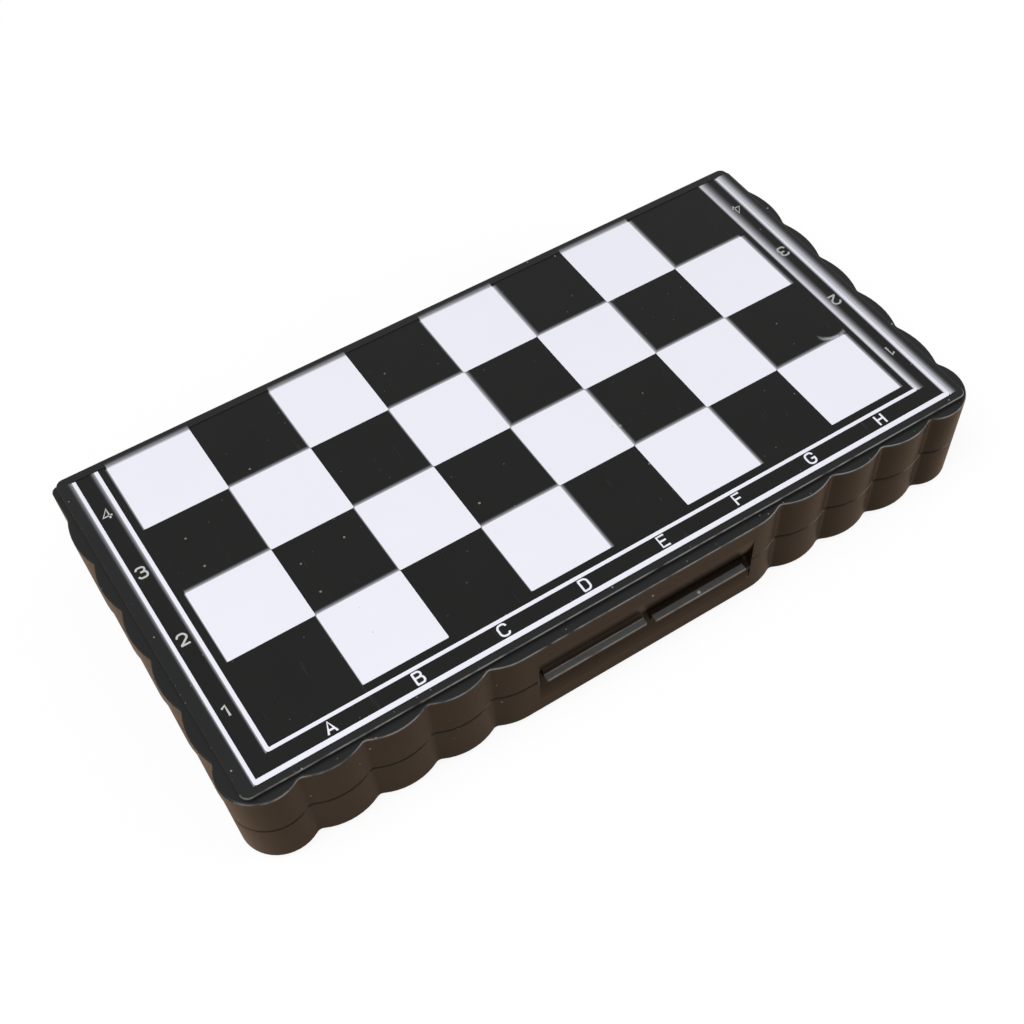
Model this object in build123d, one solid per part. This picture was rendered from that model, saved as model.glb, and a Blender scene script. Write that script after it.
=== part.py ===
from build123d import *
import os
from math import sqrt

# Folding pocket chess case with 32 magnetic men. Two equal moulded halves close on each other and turn
# on a pinned hinge at the back. The outer face of each half is half of the board.
# Millimetres, +Z up. X runs along the files, with file A at -X, and Y runs from the front to the hinge.
# The origin is the middle of the underside of the closed object's box.

# Board
square = 13.7
file_count = 8
half_rank_count = 4

# Raised plateau that carries the print, measured outwards from the squares
plateau_side = 7.8
plateau_front = 6.85
plateau_back = 2.05
plateau_rise = 0.8
plateau_corner = 1.3
plateau_edge = 0.25

# Scalloped wall, measured outwards from the plateau
valley_side = 0.9
valley_front = 0.3
lobe_side = 0.95
lobe_front = 1.35
lobe_pitch = 9.8
latch_flat = 51.0
front_lobes_end = 7.0
side_lobes_start = 1.04
side_lobes_end = 5.0
corner_round = 6.0
valley_round = 1.1
back_corner = 1.2
flange_edge = 0.3
rim_edge = 0.15

# Case half
case_height = 18.1
parting_gap = 0.2
back_gap = 0.2
wall = 1.5
floor = 1.8
cavity_corner = 2.0
weld_depth = 0.75
cut_over = 1.0

# Printed foil in a shallow recess, and the white print on it
foil_side = 5.75
foil_back = 0.45
foil_recess = 0.2
foil_thick = 0.1
print_thick = 0.05
print_corner_gap = 0.02
inner_line_offset = 1.4
inner_line_width = 0.7
outer_line_width = 1.0
print_margin = 0.05

# Steel sheet that the magnets hold on to, and the moulded studs that stake it
sheet_thick = 0.3
sheet_gap = 0.4
stud_radius = 1.0
stud_hole_gap = 0.15
stud_head_radius = 1.6
stud_head_thick = 0.4

# Hinge
knuckle_radius = 2.1
knuckle_length = 4.2
knuckle_gap = 0.25
knuckle_count = 4
hinge_offset = 42.0
pocket_gap = 0.25
pin_radius = 0.6
pin_fit = 0.05
pin_end_play = 0.1
pin_end_cover = 0.8
boss_depth = 3.4
boss_margin = 1.2

# Thumb scoop and lips at the front, a little to the right of the middle
latch_shift = 0.9
scoop_depth = 1.3
scoop_rise = 5.2
scoop_bend = 0.25
lip_length = 17.5
lip_space = 1.6
lip_reach = 0.9
lip_edge = 0.5
lip_ledge = 1.15
lip_ledge_rise = 0.1
lip_root = 2.2
lip_hollow = 0.3
lip_round = 0.2
lip_corner = 0.3
scoop_end_gap = 0.9

# Catch tongue behind the front wall, which presses its bead on the other half
tongue_start = 3.0
tongue_length = 12.0
tongue_thick = 1.0
tongue_gap = 0.25
tongue_reach = 2.5
tongue_relief = 0.8
bead_radius = 0.8
bead_reach = 0.12

# Men
foot_radius = 4.7
foot_height = 1.3
foot_chamfer = 0.25
magnet_radius = 2.4
magnet_thick = 1.5
magnet_fit = 0.05
magnet_chamfer = 0.15
foot_step = 0.35
shoulder_radius = 3.5
neck_radius = 1.35
collar_radius = 2.3
collar_thick = 0.6
collar_slope = 0.15
head_root = 1.3
back_rank = ("rook", "knight", "bishop", "queen", "king", "bishop", "knight", "rook")
king_headroom = 0.7
queen_drop = 1.0
bishop_drop = 2.0
rook_drop = 3.6
pawn_drop = 4.6
ball_radius = 1.95
turret_height = 3.2
turret_wall_height = 2.0
turret_radius = 2.4
turret_bore = 1.6
turret_gap = 0.9
turret_gap_depth = 0.8
mitre_height = 3.7
mitre_radius = 1.9
mitre_cut = 0.4
mitre_cut_rise = 2.3
mitre_cut_tilt = 40
tip_root = 0.35
tip_radius = 0.5
crown_radius = 2.45
crown_rim = 0.35
crown_flare = 2.6
crown_notch_count = 8
crown_notch_radius = 0.45
crown_notch_depth = 0.7
queen_top = 1.9
king_top = 3.0
king_dome = 0.9
cross_width = 0.75
cross_thick = 0.8
cross_span = 2.1
cross_arm_drop = 0.75

# Horse's head, with its outline as (forward of the axis, above the foot)
horse_thick = 3.4
horse_edge = 0.4
horse_edge_start = 1.0
horse_back = (-2.75, 0)
horse_crest = (-3.05, 5.3)
horse_poll = (-0.5, 8.25)
horse_ear = (-0.1, 9.15)
horse_brow = (0.8, 7.85)
horse_nose = (3.35, 5.4)
horse_lip = (3.05, 4.25)
horse_jaw = (1.95, 4.15)
horse_throat = (0.9, 4.8)
horse_neck = (1.2, 2.65)
horse_chest = (2.55, 0)

# Sizes worked out from the ones above
board_length = square * file_count
board_depth = square * half_rank_count
plateau_x = board_length / 2 + plateau_side
plateau_front_y = -board_depth / 2 - plateau_front
back_y = board_depth / 2 + plateau_back - back_gap / 2
valley_x = plateau_x + valley_side
valley_y = plateau_front_y - valley_front
lobe_x = valley_x + lobe_side
lobe_y = valley_y - lobe_front
cavity_x = valley_x - wall
cavity_front_y = valley_y + wall
cavity_back_y = back_y - wall
parting_z = case_height / 2
rim_z = parting_z - parting_gap / 2
hinge_y = back_y + back_gap / 2
hinge_width = knuckle_count * knuckle_length + (knuckle_count - 1) * knuckle_gap
lip_y = lobe_y - lip_reach
sheet_top = floor + sheet_thick
tip_height = tip_radius + sqrt(tip_radius**2 - tip_root**2)
king_height = case_height - 2 * sheet_top - king_headroom
queen_height = king_height - queen_drop
bishop_height = king_height - bishop_drop
rook_height = king_height - rook_drop
pawn_height = king_height - pawn_drop
front_lobe_count = int((valley_x - latch_flat / 2 - front_lobes_end) / lobe_pitch)
side_lobe_count = int((board_depth / 2 + back_y - side_lobes_start - side_lobes_end) / lobe_pitch)
print_low = foil_recess - foil_thick - print_thick
print_high = foil_recess - foil_thick
print_end_y = board_depth / 2 + foil_back - print_margin
box_middle_y = (lip_y + hinge_y + knuckle_radius) / 2


def box_between(low, high):
    """Box from its lowest to its highest corner."""
    size = [high[i] - low[i] for i in range(3)]
    middle = [(high[i] + low[i]) / 2 for i in range(3)]
    return Pos(*middle) * Box(*size)


def rounded_block(half_x, front, back, low, high, corner):
    """Upright block with rounded corners, centred on X = 0."""
    plan = Rectangle(2 * half_x, back - front)
    plan = fillet(plan.vertices(), corner)
    return Pos(0, (front + back) / 2, low) * extrude(plan, high - low)


def scalloped_plan():
    """Outline of the wall: arcs that meet in rounded valleys, a flat front middle and a straight back."""
    front_valleys = [(latch_flat / 2 + k * lobe_pitch, valley_y) for k in range(front_lobe_count + 1)]
    side_start = -board_depth / 2 + side_lobes_start
    side_valleys = [(valley_x, side_start + k * lobe_pitch) for k in range(side_lobe_count + 1)]
    flat_end = (latch_flat / 2 - lobe_pitch / 2, lobe_y)
    corner_inset = corner_round * (1 - 1 / sqrt(2))
    corner_middle = (lobe_x - corner_inset, lobe_y + corner_inset)
    half = [Line((0, lobe_y), flat_end)]
    half.append(TangentArc(flat_end, front_valleys[0], tangent=(1, 0)))
    for start, end in zip(front_valleys, front_valleys[1:]):
        half.append(ThreePointArc(start, ((start[0] + end[0]) / 2, lobe_y), end))
    half.append(ThreePointArc(front_valleys[-1], corner_middle, side_valleys[0]))
    for start, end in zip(side_valleys, side_valleys[1:]):
        half.append(ThreePointArc(start, (lobe_x, (start[1] + end[1]) / 2), end))
    half.append(Line(side_valleys[-1], (valley_x, back_y)))
    half.append(Line((valley_x, back_y), (0, back_y)))
    plan = make_face(half + [mirror(edge, Plane.YZ) for edge in half])
    valleys = front_valleys + side_valleys
    for points, radius in ((valleys, valley_round), ([(valley_x, back_y)], back_corner)):
        places = [Vector(side * x, y) for x, y in points for side in (-1, 1)]
        corners = [v for v in plan.vertices() if min((Vector(v) - p).length for p in places) < radius / 10]
        plan = fillet(corners, radius)
    return plan


def moulded_blank():
    """Wall block and plateau before anything is cut from them."""
    block = Pos(0, 0, plateau_rise) * extrude(scalloped_plan(), rim_z - plateau_rise)
    block = fillet(block.faces().sort_by(Axis.Z)[0].edges(), flange_edge)
    block = chamfer(block.faces().sort_by(Axis.Z)[-1].edges(), rim_edge)
    cover = plateau_rise + 2 * flange_edge
    plateau = rounded_block(plateau_x, plateau_front_y, back_y, 0, cover, plateau_corner)
    plateau = fillet(plateau.faces().sort_by(Axis.Z)[0].edges(), plateau_edge)
    return block + plateau


def knuckle_span(side, index):
    """Ends in X of one knuckle. Index 0 is the outermost, and side is -1 or 1."""
    outer = hinge_offset + hinge_width / 2 - index * (knuckle_length + knuckle_gap)
    return sorted((side * outer, side * (outer - knuckle_length)))


def hinge_rod(start, end, radius):
    """Round bar on the hinge axis."""
    return Pos((start + end) / 2, hinge_y, parting_z) * Rot(0, 90, 0) * Cylinder(radius, end - start)


def owns_knuckle(side, index):
    """The right hinge starts with this half's knuckle, and the left with the other half's."""
    return index % 2 == (0 if side > 0 else 1)


def pin_reach(side, inner_play, outer_play):
    """Ends in X of a hinge pin or its bore. The outer end is blind and the inner end is open."""
    inner = hinge_offset - hinge_width / 2 + inner_play
    outer = hinge_offset + hinge_width / 2 - pin_end_cover - outer_play
    return sorted((side * inner, side * outer))


def hinge_bore(side):
    """Bore of one hinge, with a channel along the rim that the pin slides in by."""
    return hinge_rod(*pin_reach(side, -hinge_width, 0), pin_radius + pin_fit)


def hinge_pin(side):
    """Steel wire pin with chamfered ends."""
    pin = hinge_rod(*pin_reach(side, pin_end_play, pin_end_play), pin_radius)
    return chamfer(pin.edges().filter_by(GeomType.CIRCLE), pin_radius / 4)


def hinge_bosses(margin):
    """Thick pads inside the back wall that the hinge pockets are cut into."""
    half_width = hinge_width / 2 + boss_margin + margin
    front = back_y - boss_depth - margin
    pads = Part()
    for side in (-1, 1):
        low = (side * hinge_offset - half_width, front, floor - weld_depth)
        high = (side * hinge_offset + half_width, cavity_back_y + weld_depth, rim_z)
        pads += box_between(low, high)
    return pads


def tongue_root(margin):
    """Pad on the inside of the front wall that the catch tongue grows from."""
    low = (tongue_start - margin, cavity_front_y - weld_depth, floor - weld_depth)
    high = (tongue_start + tongue_length + margin, tongue_back_y() + margin, rim_z - tongue_relief)
    return box_between(low, high)


def tongue_back_y():
    """Inner face of the catch tongue."""
    return cavity_front_y + tongue_gap + tongue_thick


def catch_tongue():
    """Tongue that reaches past the parting line behind the other half's front wall."""
    tip_z = parting_z + tongue_reach
    low = (tongue_start, cavity_front_y + tongue_gap, rim_z - 2 * tongue_relief)
    high = (tongue_start + tongue_length, tongue_back_y(), tip_z)
    tongue = chamfer(box_between(low, high).edges().group_by(Axis.Z)[-1], tongue_thick / 4)
    bead_y = cavity_front_y + tongue_gap - bead_reach + bead_radius
    bead_x = tongue_start + tongue_length / 2
    bead = Pos(bead_x, bead_y, tip_z - bead_radius) * Rot(0, 90, 0) * Cylinder(bead_radius, tongue_length)
    bead &= box_between((low[0], cavity_front_y, low[2]), high)
    return tongue + bead + tongue_root(0)


def thumb_scoop(middle_x):
    """Cut with square ends across the front, where the wall turns inwards towards the parting line."""
    half_length = lip_space / 2 + lip_length + scoop_end_gap
    start = (lobe_y, parting_z - scoop_rise)
    bend = (lobe_y + scoop_bend * scoop_depth, parting_z - scoop_rise / 2)
    end = (lobe_y + scoop_depth, parting_z)
    front_y = lobe_y - cut_over
    outline = [
        ThreePointArc(start, bend, end),
        Line(end, (front_y, parting_z)),
        Line((front_y, parting_z), (front_y, start[1])),
        Line((front_y, start[1]), start),
    ]
    side = Plane(origin=(middle_x - half_length, 0, 0), x_dir=(0, 1, 0), z_dir=(1, 0, 0))
    return side * extrude(make_face(outline), 2 * half_length)


def thumb_lip(middle_x):
    """Lip with a flat face at the parting line and a narrow ledge on its other side."""
    root_y = lobe_y + scoop_depth + weld_depth / 2
    outer_low = (lip_y, rim_z - lip_edge)
    ledge_end = (lip_y + lip_ledge, rim_z - lip_edge - lip_ledge_rise)
    web_end = (lobe_y + scoop_depth / 2, rim_z - lip_root)
    points = [(root_y, rim_z), (lip_y, rim_z), outer_low, ledge_end, web_end, (root_y, web_end[1])]
    profile = make_face(Polyline(*points, close=True))
    hollow = profile.vertices().sort_by_distance(Vertex(*ledge_end))[0]
    profile = fillet(hollow, lip_hollow)
    outer = [v for v in profile.vertices() if v.X < lip_y + lip_round / 10]
    profile = fillet(outer, lip_round)
    start = middle_x + lip_space / 2
    lip = Plane(origin=(start, 0, 0), x_dir=(0, 1, 0), z_dir=(1, 0, 0)) * extrude(profile, lip_length)
    plan_depth = 2 * (root_y - lip_y)
    plan = fillet(Rectangle(lip_length, plan_depth).vertices(), lip_corner)
    middle = (start + lip_length / 2, lip_y + plan_depth / 2, 0)
    return lip & (Pos(*middle) * extrude(plan, rim_z))


def stud_places():
    """Corners between squares, where no man stands."""
    return [(column * 3 * square, row * square) for column in (-1, 0, 1) for row in (-1, 1)]


def upright(x, y, low, high, radius):
    """Upright round bar."""
    return Pos(x, y, (low + high) / 2) * Cylinder(radius, high - low)


def case_half(latch_middle):
    """One moulded half, board face down and rim up, with the middle of its latch."""
    half = moulded_blank() - thumb_scoop(latch_middle)
    half -= rounded_block(cavity_x, cavity_front_y, cavity_back_y, floor, case_height, cavity_corner)
    foil_front = -board_depth / 2 - foil_side
    foil_end = board_depth / 2 + foil_back
    foil_x = board_length / 2 + foil_side
    half -= box_between((-foil_x, foil_front, -cut_over), (foil_x, foil_end, foil_recess))
    half += hinge_bosses(0)
    half += thumb_lip(latch_middle)
    half += catch_tongue()
    for x, y in stud_places():
        half += upright(x, y, floor - weld_depth, sheet_top + stud_head_thick, stud_radius)
        half += upright(x, y, sheet_top, sheet_top + stud_head_thick, stud_head_radius)
    for side in (-1, 1):
        for index in range(knuckle_count):
            start, end = knuckle_span(side, index)
            if owns_knuckle(side, index):
                half += hinge_rod(start, end, knuckle_radius)
            else:
                half -= hinge_rod(start - knuckle_gap, end + knuckle_gap, knuckle_radius + pocket_gap)
        half -= hinge_bore(side)
    return half


def steel_sheet():
    """Sheet on the inner floor, notched around the bosses and holed for the studs."""
    low = (-cavity_x + sheet_gap, cavity_front_y + sheet_gap, floor)
    high = (cavity_x - sheet_gap, cavity_back_y - sheet_gap, sheet_top)
    sheet = box_between(low, high)
    sheet = fillet(sheet.edges().filter_by(Axis.Z), cavity_corner)
    sheet -= hinge_bosses(sheet_gap)
    sheet -= tongue_root(sheet_gap)
    for x, y in stud_places():
        sheet -= upright(x, y, 0, case_height, stud_radius + stud_hole_gap)
    return sheet


def board_foil():
    """Black foil in the recess of the outer face."""
    low = (-board_length / 2 - foil_side, -board_depth / 2 - foil_side, foil_recess - foil_thick)
    high = (board_length / 2 + foil_side, board_depth / 2 + foil_back, foil_recess)
    return box_between(low, high)


def line_frame(reach, width):
    """Printed line round three sides of the squares, open at the hinge. Reach is its outer edge."""
    offset = reach - width
    outer = box_between((-board_length / 2 - reach, -board_depth / 2 - reach, print_low),
                        (board_length / 2 + reach, print_end_y, print_high))
    inner = box_between((-board_length / 2 - offset, -board_depth / 2 - offset, print_low),
                        (board_length / 2 + offset, print_end_y + width, print_high))
    return outer - inner


def white_print():
    """Light squares and the two lines, as they lie under the lower half."""
    marks = [line_frame(inner_line_offset + inner_line_width, inner_line_width)]
    marks.append(line_frame(foil_side - print_margin, outer_line_width))
    for column in range(file_count):
        for row in range(column % 2, half_rank_count, 2):
            x = column * square - board_length / 2
            y = row * square - board_depth / 2
            near = (x + print_corner_gap, y + print_corner_gap, print_low)
            far = (x + square - print_corner_gap, y + square - print_corner_gap, print_high)
            marks.append(box_between(near, far))
    return Compound(marks)


def turned(runs):
    """Solid turned from the runs of a half outline. A run of three points is an arc."""
    edges = [ThreePointArc(*run) if len(run) == 3 else Line(*run) for run in runs]
    edges.append(Line(edges[-1] @ 1, edges[0] @ 0))
    return revolve(Plane.XZ * make_face(edges), Axis.Z)


def joined(points):
    """Straight runs from point to point."""
    return list(zip(points, points[1:]))


def foot_runs(neck_z):
    """Foot, hollow stem and collar of a man, up to the start of its head."""
    shoulder = (shoulder_radius, foot_height + foot_step)
    neck = (neck_radius, neck_z)
    hollow = ((shoulder[0] + 3 * neck[0]) / 4, (2 * shoulder[1] + neck[1]) / 3)
    runs = joined([
        (0, 0),
        (foot_radius, 0),
        (foot_radius, foot_height - foot_chamfer),
        (foot_radius - foot_chamfer, foot_height),
        shoulder,
    ])
    runs.append((shoulder, hollow, neck))
    collar_top = neck_z + collar_thick
    runs += joined([
        neck,
        (collar_radius, neck_z + collar_slope),
        (collar_radius, collar_top - collar_slope),
        (head_root, collar_top),
    ])
    return runs


def with_magnet_pocket(man):
    """Man with the pocket for its magnet cut in the foot."""
    return man - upright(0, 0, -magnet_thick, magnet_thick, magnet_radius + magnet_fit)


def cap_run(radius, low, top):
    """Round cap from a rim of this radius up to the axis, with its centre on the axis."""
    sphere = (radius**2 + (top - low) ** 2) / (2 * (top - low))
    middle = (radius / 2, top - sphere + sqrt(sphere**2 - radius**2 / 4))
    return ((radius, low), middle, (0, top))


def ball_run(root, low, radius, top):
    """Most of a ball, from the root that carries it up to the axis."""
    return ((root, low), (radius, top - radius), (0, top))


def pawn():
    """Ball head on a collar."""
    root_z = pawn_height - ball_radius - sqrt(ball_radius**2 - head_root**2)
    runs = foot_runs(root_z - collar_thick)
    runs.append(ball_run(head_root, root_z, ball_radius, pawn_height))
    return with_magnet_pocket(turned(runs))


def rook():
    """Flared turret with a sunk top and four gaps in its wall."""
    root_z = rook_height - turret_height
    flare_z = rook_height - turret_wall_height
    sunk_z = rook_height - turret_gap_depth
    runs = foot_runs(root_z - collar_thick)
    flare_middle = ((3 * head_root + turret_radius) / 4, (root_z + flare_z) / 2)
    runs.append(((head_root, root_z), flare_middle, (turret_radius, flare_z)))
    runs += joined([
        (turret_radius, flare_z),
        (turret_radius, rook_height),
        (turret_bore, rook_height),
        (turret_bore, sunk_z),
        (0, sunk_z),
    ])
    man = turned(runs)
    for turn in (0, 90):
        slot = Box(4 * turret_radius, turret_gap, turret_gap_depth)
        man -= Pos(0, 0, rook_height - turret_gap_depth / 2) * Rot(0, 0, turn) * slot
    return with_magnet_pocket(man)


def bishop():
    """Mitre with a slanting cut and a small ball on top."""
    root_z = bishop_height - mitre_height - tip_height
    tip_z = bishop_height - tip_height
    runs = foot_runs(root_z - collar_thick)
    runs.append(((head_root, root_z), (mitre_radius, root_z + mitre_height / 3), (tip_root, tip_z)))
    runs.append(ball_run(tip_root, tip_z, tip_radius, bishop_height))
    man = turned(runs)
    cut = Pos(mitre_radius, 0, root_z + mitre_cut_rise) * Rot(0, -mitre_cut_tilt, 0)
    man -= cut * Box(2 * mitre_radius, 3 * mitre_radius, mitre_cut)
    return with_magnet_pocket(man)


def crown_runs(height, top_height, flare_height):
    """Foot and flared crown, up to the inner edge of the crown's rim."""
    root_z = height - top_height - flare_height
    rim = (crown_radius, height - top_height)
    runs = foot_runs(root_z - collar_thick)
    runs.append(((head_root, root_z), ((4 * head_root + rim[0]) / 5, (root_z + rim[1]) / 2), rim))
    runs.append((rim, (crown_radius - crown_rim, rim[1])))
    return runs


def queen():
    """Flared crown with notches round its rim, a low dome and a ball."""
    rim_height = queen_height - queen_top
    ball_z = queen_height - tip_height
    runs = crown_runs(queen_height, queen_top, crown_flare)
    runs.append(((crown_radius - crown_rim, rim_height), (tip_root, ball_z)))
    runs.append(ball_run(tip_root, ball_z, tip_radius, queen_height))
    man = turned(runs)
    for index in range(crown_notch_count):
        turn = Rot(0, 0, index * 360 / crown_notch_count)
        notch = upright(crown_radius, 0, rim_height - crown_notch_depth, queen_height, crown_notch_radius)
        man -= turn * notch
    return with_magnet_pocket(man)


def king():
    """Flared crown with a dome and a cross."""
    rim_height = king_height - king_top
    dome_z = rim_height + king_dome
    runs = crown_runs(king_height, king_top, crown_flare)
    runs.append(cap_run(crown_radius - crown_rim, rim_height, dome_z))
    cross_root = (rim_height + dome_z) / 2
    post = box_between((-cross_width / 2, -cross_thick / 2, cross_root),
                       (cross_width / 2, cross_thick / 2, king_height))
    arm_z = king_height - cross_arm_drop - cross_width / 2
    arms = Pos(0, 0, arm_z) * Box(cross_span, cross_thick, cross_width)
    return with_magnet_pocket(turned(runs) + post + arms)


def knight():
    """Horse's head on a low foot."""
    root_z = foot_height + foot_step
    face = [horse_poll, horse_ear, horse_brow, horse_nose, horse_lip, horse_jaw, horse_throat]
    outline = [ThreePointArc(horse_back, horse_crest, horse_poll)]
    outline += [Line(*run) for run in joined(face)]
    outline.append(ThreePointArc(horse_throat, horse_neck, horse_chest))
    outline.append(Line(horse_chest, horse_back))
    head = extrude(Plane.XZ * make_face(outline), horse_thick / 2, both=True)
    sides = head.faces().filter_by(Axis.Y)
    head = chamfer(sides.edges().filter_by(lambda edge: edge.center().Z > horse_edge_start), horse_edge)
    foot = turned(joined([
        (0, 0),
        (foot_radius, 0),
        (foot_radius, foot_height - foot_chamfer),
        (foot_radius - foot_chamfer, foot_height),
        (shoulder_radius, root_z),
        (shoulder_radius - foot_step, root_z + foot_step),
        (0, root_z + foot_step),
    ]))
    return with_magnet_pocket(foot + Pos(0, 0, root_z) * head)


def magnet():
    """Disc magnet, flush with the foot."""
    disc = upright(0, 0, 0, magnet_thick, magnet_radius)
    return chamfer(disc.edges().filter_by(GeomType.CIRCLE), magnet_chamfer)


def stand(column, row):
    """Place of a man stowed on the lower sheet, under one square."""
    x = (column - (file_count - 1) / 2) * square
    y = (row - (half_rank_count - 1) / 2) * square
    return Pos(x, y, sheet_top)


def save(name, shape):
    """Write one piece, moved so that the origin is under the middle of the box."""
    export_step(Pos(0, -box_middle_y, 0) * shape, f"parts/{name}.step")


def turn_over(shape):
    """The upper half is the lower one turned over about the front to back line at the parting."""
    return Pos(0, 0, parting_z) * Rot(0, 180, 0) * Pos(0, 0, -parting_z) * shape


def save_case():
    """Both halves with their sheets, foils and prints, and the hinge pins."""
    save("lower_case_half", case_half(latch_shift))
    save("upper_case_half", turn_over(case_half(-latch_shift)))
    pieces = {
        "steel_sheet": steel_sheet(),
        "board_foil": board_foil(),
        "white_print": white_print(),
    }
    for name, shape in pieces.items():
        save(f"lower_{name}", shape)
        save(f"upper_{name}", turn_over(shape))
    save("left_hinge_pin", hinge_pin(-1))
    save("right_hinge_pin", hinge_pin(1))


def save_men():
    """Two rows of pawns in front, two rows of pieces behind them, each colour with its magnets."""
    shapes = {"rook": rook(), "knight": knight(), "bishop": bishop(), "queen": queen(), "king": king()}
    shapes["pawn"] = pawn()
    disc = magnet()
    pawns = ["pawn"] * file_count
    rows = [("white", pawns), ("black", pawns), ("white", back_rank), ("black", back_rank)]
    for row, (colour, men) in enumerate(rows):
        magnets = {}
        for column, man in enumerate(men):
            magnets.setdefault(man, []).append(stand(column, row) * disc)
            single = men.count(man) == 1
            number = "" if single else f"_{len(magnets[man])}"
            save(f"{colour}_{man}{number}", stand(column, row) * shapes[man])
        for man, discs in magnets.items():
            save(f"{colour}_{man}_magnet{'s' if len(discs) > 1 else ''}", Compound(discs))


os.makedirs("parts", exist_ok=True)
save_case()
save_men()
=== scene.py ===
# %% [markdown]
# A pocket chess case, dressed for its picture. The case is two black mouldings that close on each
# other, with half a board printed on the outside of each, and its magnetic men stowed inside.
# The construction comes in ready made, in metres, with the long side along X, the front lips at -Y
# and +Z up. Everything below either gives those pieces a finish, or adds what they lack: print with
# its letters, carved knights, a floor, light and a camera. The first cell only loads the frame.

import math

import bmesh
import bpy
from mathutils import Matrix, Vector


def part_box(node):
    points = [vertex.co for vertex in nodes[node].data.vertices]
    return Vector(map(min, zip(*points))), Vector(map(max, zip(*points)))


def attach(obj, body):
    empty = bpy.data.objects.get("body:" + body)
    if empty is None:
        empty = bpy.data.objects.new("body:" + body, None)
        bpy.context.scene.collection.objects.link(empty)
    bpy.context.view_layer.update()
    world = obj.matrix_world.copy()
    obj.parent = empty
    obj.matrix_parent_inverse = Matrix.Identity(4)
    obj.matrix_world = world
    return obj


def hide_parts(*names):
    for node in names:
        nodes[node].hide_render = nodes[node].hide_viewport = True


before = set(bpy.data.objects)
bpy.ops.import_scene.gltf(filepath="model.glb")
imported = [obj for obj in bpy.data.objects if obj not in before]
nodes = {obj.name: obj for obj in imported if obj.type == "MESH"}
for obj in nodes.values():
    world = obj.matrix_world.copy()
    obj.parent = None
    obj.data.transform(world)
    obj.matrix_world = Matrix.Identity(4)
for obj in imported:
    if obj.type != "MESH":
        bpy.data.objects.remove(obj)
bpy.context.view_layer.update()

# %% [markdown]
# Print is measured on the board it sits on, so the board's own sizes come first. The foil's box
# gives the board's middle and the height of its outer face, and the squares follow from the foil's
# length less the two borders. Working from the frame means that a change to the part carries over.

# %% Sizes of the board
MM = 0.001
FILES = 8
RANKS = 4
FOIL_BORDER = 5.75 * MM

foil_low, foil_high = (Vector(corner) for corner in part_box("upper_board_foil"))
under_low = Vector(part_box("lower_board_foil")[0])
case_low, case_high = (Vector(corner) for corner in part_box("upper_case_half"))
square = (foil_high.x - foil_low.x - 2 * FOIL_BORDER) / FILES
half_length = FILES * square / 2
half_depth = RANKS * square / 2
board_middle = Vector((0, foil_low.y + FOIL_BORDER + half_depth, foil_high.z))
print(f"square {square / MM:.2f} mm, board middle y {board_middle.y / MM:.2f} mm")

# %% [markdown]
# A finish in Blender is a small network of nodes. Long formulas are hard to read as a chain of
# nodes, so Field lets ordinary sums stand for them: every + or * adds one Math node behind the
# scenes.


# %% Sums that become nodes
class Field:
    """A number that varies over a surface. Sums with it add Math nodes to its tree."""

    def __init__(self, tree, socket):
        self.tree = tree
        self.socket = socket

    def maths(self, operation, *others, clamp=False):
        node = self.tree.nodes.new("ShaderNodeMath")
        node.operation = operation
        node.use_clamp = clamp
        for inlet, value in zip(node.inputs, (self, *others)):
            if isinstance(value, Field):
                self.tree.links.new(value.socket, inlet)
            else:
                inlet.default_value = value
        return Field(self.tree, node.outputs[0])

    def __add__(self, other):
        return self.maths("ADD", other)

    def __sub__(self, other):
        return self.maths("SUBTRACT", other)

    def __mul__(self, other):
        return self.maths("MULTIPLY", other)

    def __truediv__(self, other):
        return self.maths("DIVIDE", other)

    def above(self, level):
        return self.maths("GREATER_THAN", level)

    def below(self, level):
        return self.maths("LESS_THAN", level)

    def is_even(self):
        """1 where a whole number is even."""
        return self.maths("FLOORED_MODULO", 2.0).below(0.5)

    def span(self, low, high):
        """0 below low, 1 above high, straight between. With low above high it falls instead."""
        node = self.tree.nodes.new("ShaderNodeMapRange")
        self.tree.links.new(self.socket, node.inputs["Value"])
        node.inputs["From Min"].default_value = low
        node.inputs["From Max"].default_value = high
        return Field(self.tree, node.outputs["Result"])


print("a Field knows + - * /, above, below, is_even and span")

# %% [markdown]
# Finish bundles what all the finishes share: the tree, its Principled shader, a way to set numbers
# straight on the shader, the object's own coordinates as X, Y and Z fields, and the patterns that
# every surface here needs: soft noise and grains of dust. Both read the object's coordinates, so
# they stay put when the piece moves.

# %% One material and its patterns
SPECK_SHARPNESS = 8


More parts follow.
